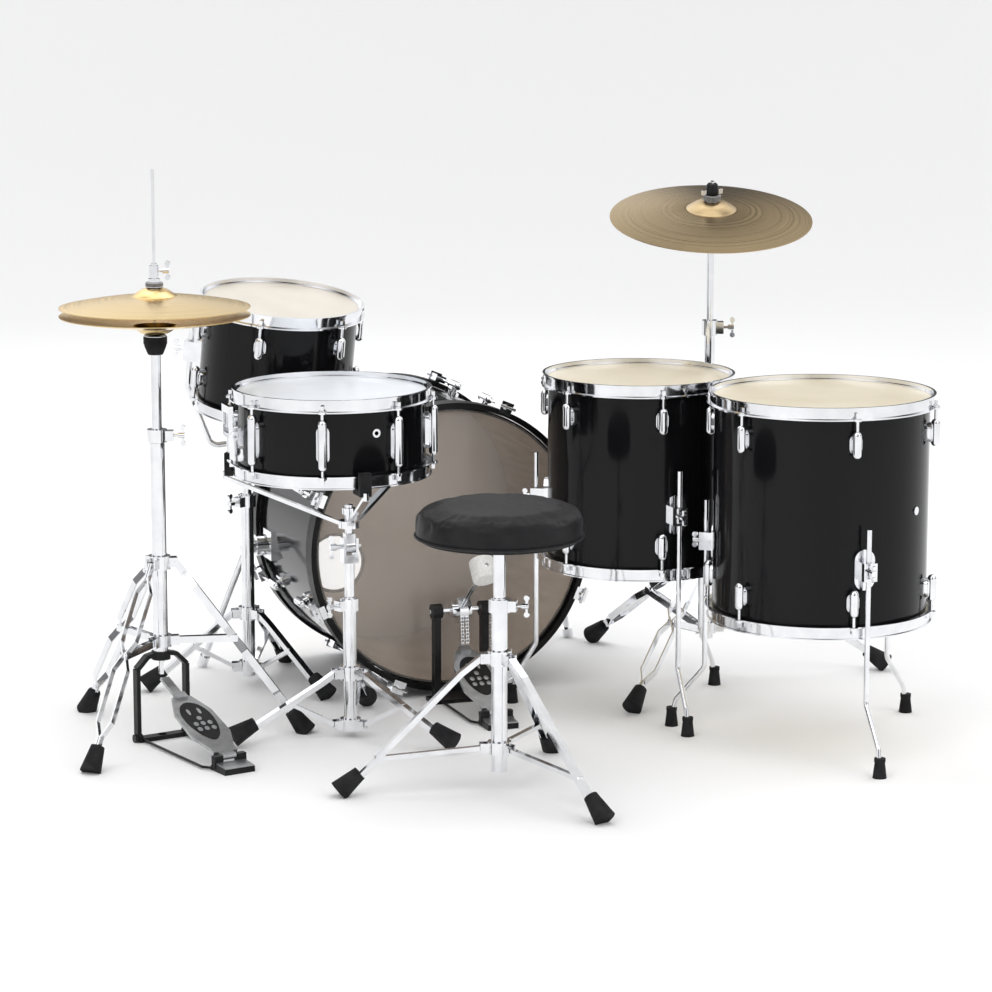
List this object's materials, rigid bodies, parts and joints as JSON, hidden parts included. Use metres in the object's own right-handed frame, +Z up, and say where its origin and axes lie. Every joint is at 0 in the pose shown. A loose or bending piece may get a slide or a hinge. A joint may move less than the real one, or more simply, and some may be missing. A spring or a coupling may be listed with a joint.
{
  "type": "acoustic drum kit",
  "caption": "Acoustic drum kit with bass drum and pedal, snare, rack and floor toms, hi-hat, crash cymbal, chromed stands and a round padded throne.",
  "frame": {"origin": "floor point under the centre of the kit's box", "axes": "+Y towards the audience, +X to the seated drummer's right, +Z up"},
  "size_m": [1.7644, 1.4374, 1.082],
  "materials": {
    "black_lacquer": "high gloss black lacquer",
    "chrome": "polished chrome plate",
    "drumhead": "coated film",
    "bass_head": "smoked film",
    "snare_head": "coated white film",
    "black_hoop": "satin black lacquer",
    "black_metal": "satin black",
    "board_metal": "satin cast",
    "felt": "pressed felt",
    "cymbal": "lathed bronze",
    "crash_bronze": "lathed bronze",
    "rubber": "matte rubber",
    "vinyl": "grained vinyl over foam",
    "seat_board": "black board"
  },
  "bodies": {
    "root": {"bass_shell": "black_lacquer", "bass_hoops": "black_hoop", "bass_heads": "bass_head", "bass_lugs": "chrome", "bass_claws": "chrome", "bass_pedal_frame": "black_metal", "hihat_tube": "chrome", "hihat_legs": "chrome", "hihat_pedal_frame": "black_metal", "snare_stand_tube": "chrome", "snare_stand_legs": "chrome", "tom_stand_tube": "chrome", "tom_stand_legs": "chrome", "crash_stand_tube": "chrome", "crash_stand_legs": "chrome", "throne_tube": "chrome", "throne_legs": "chrome", "floor_tom_legs": "chrome", "rubber_feet": "rubber"},
    "spur_left": {"bass_spur_left": "chrome"},
    "spur_right": {"bass_spur_right": "chrome"},
    "bass_board": {"bass_pedal_footboard": "board_metal", "bass_pedal_chain": "chrome"},
    "bass_beater": {"bass_pedal_axle": "chrome", "bass_pedal_beater": "felt"},
    "hihat_board": {"hihat_footboard": "board_metal"},
    "hihat_rod": {"hihat_pull_rod": "chrome"},
    "hihat_top": {"hihat_clutch": "chrome", "hihat_top_cymbal": "cymbal"},
    "hihat_seat": {"hihat_upper_tube": "chrome", "hihat_bottom_cymbal": "cymbal"},
    "snare_post": {"snare_stand_post": "chrome"},
    "snare": {"snare_basket": "chrome", "snare_grips": "rubber", "snare_shell": "black_lacquer", "snare_hoops": "chrome", "snare_heads": "snare_head", "snare_lugs": "chrome", "snare_strainer": "chrome"},
    "snare_lever": {"snare_strainer_lever": "chrome"},
    "tom_post": {"tom_stand_post": "chrome"},
    "tom": {"tom_holder_arm": "chrome", "tom_shell": "black_lacquer", "tom_hoops": "chrome", "tom_heads": "drumhead", "tom_lugs": "chrome"},
    "crash_post": {"crash_stand_post": "chrome"},
    "crash_tilter": {"crash_tilter": "chrome"},
    "crash_cymbal": {"crash_cymbal": "crash_bronze"},
    "throne_post": {"throne_post": "chrome"},
    "throne_seat": {"throne_seat": "vinyl", "throne_seat_board": "seat_board"},
    "floor_tom_14": {"floor_tom_14_shell": "black_lacquer", "floor_tom_14_hoops": "chrome", "floor_tom_14_heads": "drumhead", "floor_tom_14_lugs": "chrome"},
    "floor_tom_16": {"floor_tom_16_shell": "black_lacquer", "floor_tom_16_hoops": "chrome", "floor_tom_16_heads": "drumhead", "floor_tom_16_lugs": "chrome"}
  },
  "joints": [
    {"name": "left_spur_fold", "type": "hinge", "parent": "root", "child": "spur_left", "pos_m": [-0.37493, 0.60549, 0.265], "axis": [1, 0, 0], "range_deg": [0, 70]},
    {"name": "right_spur_fold", "type": "hinge", "parent": "root", "child": "spur_right", "pos_m": [0.28967, 0.60549, 0.265], "axis": [1, 0, 0], "range_deg": [0, 70]},
    {"name": "bass_footboard_press", "type": "hinge", "parent": "root", "child": "bass_board", "pos_m": [-0.04263, 0.02049, 0.024], "axis": [1, 0, 0], "range_deg": [-13, 0], "deforming": ["bass_pedal_chain"]},
    {"name": "beater_swing", "type": "hinge", "parent": "root", "child": "bass_beater", "pos_m": [-0.04263, 0.22549, 0.185], "axis": [1, 0, 0], "range_deg": [-63, 0], "stiffness_Nm_per_rad": 0.5, "springref_deg": 34.38},
    {"name": "hihat_footboard_press", "type": "hinge", "parent": "root", "child": "hihat_board", "pos_m": [-0.61669, -0.11979, 0.024], "axis": [-0.9744, -0.225, 0], "range_deg": [0, 2.6]},
    {"name": "hihat_pull", "type": "slide", "parent": "root", "child": "hihat_rod", "axis": [0, 0, 1], "range_m": [-0.0118, 0], "stiffness_N_per_m": 1600, "springref_m": 0.02},
    {"name": "hihat_clutch_height", "type": "slide", "parent": "hihat_rod", "child": "hihat_top", "axis": [0, 0, 1], "range_m": [0, 0.12]},
    {"name": "hihat_height", "type": "slide", "parent": "root", "child": "hihat_seat", "axis": [0, 0, 1], "range_m": [-0.05, 0]},
    {"name": "snare_stand_height", "type": "slide", "parent": "root", "child": "snare_post", "axis": [0, 0, 1], "range_m": [-0.02, 0.03]},
    {"name": "snare_basket_tilt", "type": "hinge", "parent": "snare_post", "child": "snare", "pos_m": [-0.33363, 0.02949, 0.37], "axis": [1, 0, 0], "range_deg": [-3, 6]},
    {"name": "snare_strainer_throw", "type": "hinge", "parent": "snare", "child": "snare_lever", "pos_m": [-0.56463, 0.02049, 0.599], "axis": [0, 1, 0], "range_deg": [-70, 0]},
    {"name": "tom_stand_height", "type": "slide", "parent": "root", "child": "tom_post", "axis": [0, 0, 1], "range_m": [0, 0.06]},
    {"name": "tom_holder_tilt", "type": "hinge", "parent": "tom_post", "child": "tom", "pos_m": [-0.40063, 0.49749, 0.5], "axis": [0.1421, 0.9898, 0], "range_deg": [-6, 0]},
    {"name": "crash_stand_height", "type": "slide", "parent": "root", "child": "crash_post", "axis": [0, 0, 1], "range_m": [-0.1, 0.1]},
    {"name": "crash_tilt", "type": "hinge", "parent": "crash_post", "child": "crash_tilter", "pos_m": [0.50537, 0.26449, 0.933], "axis": [1, 0, 0], "range_deg": [-20, 12]},
    {"name": "crash_cymbal_spin", "type": "hinge", "parent": "crash_tilter", "child": "crash_cymbal", "pos_m": [0.50537, 0.26449, 0.933], "axis": [-0.068, -0.225, 0.972], "continuous": true},
    {"name": "throne_height", "type": "slide", "parent": "root", "child": "throne_post", "axis": [0, 0, 1], "range_m": [-0.06, 0.1]},
    {"name": "throne_swivel", "type": "hinge", "parent": "throne_post", "child": "throne_seat", "pos_m": [-0.19963, -0.43051, 0.4], "axis": [0, 0, 1], "continuous": true},
    {"name": "floor_tom_14_height", "type": "slide", "parent": "root", "child": "floor_tom_14", "axis": [0, 0, 1], "range_m": [-0.05, 0.03]},
    {"name": "floor_tom_16_height", "type": "slide", "parent": "root", "child": "floor_tom_16", "axis": [0, 0, 1], "range_m": [-0.05, 0.03]}
  ],
  "couplings": [
    {"joint": "beater_swing", "follows": "bass_footboard_press", "ratio": 4.84},
    {"joint": "hihat_pull", "follows": "hihat_footboard_press", "m_per_rad": -0.25}
  ]
}
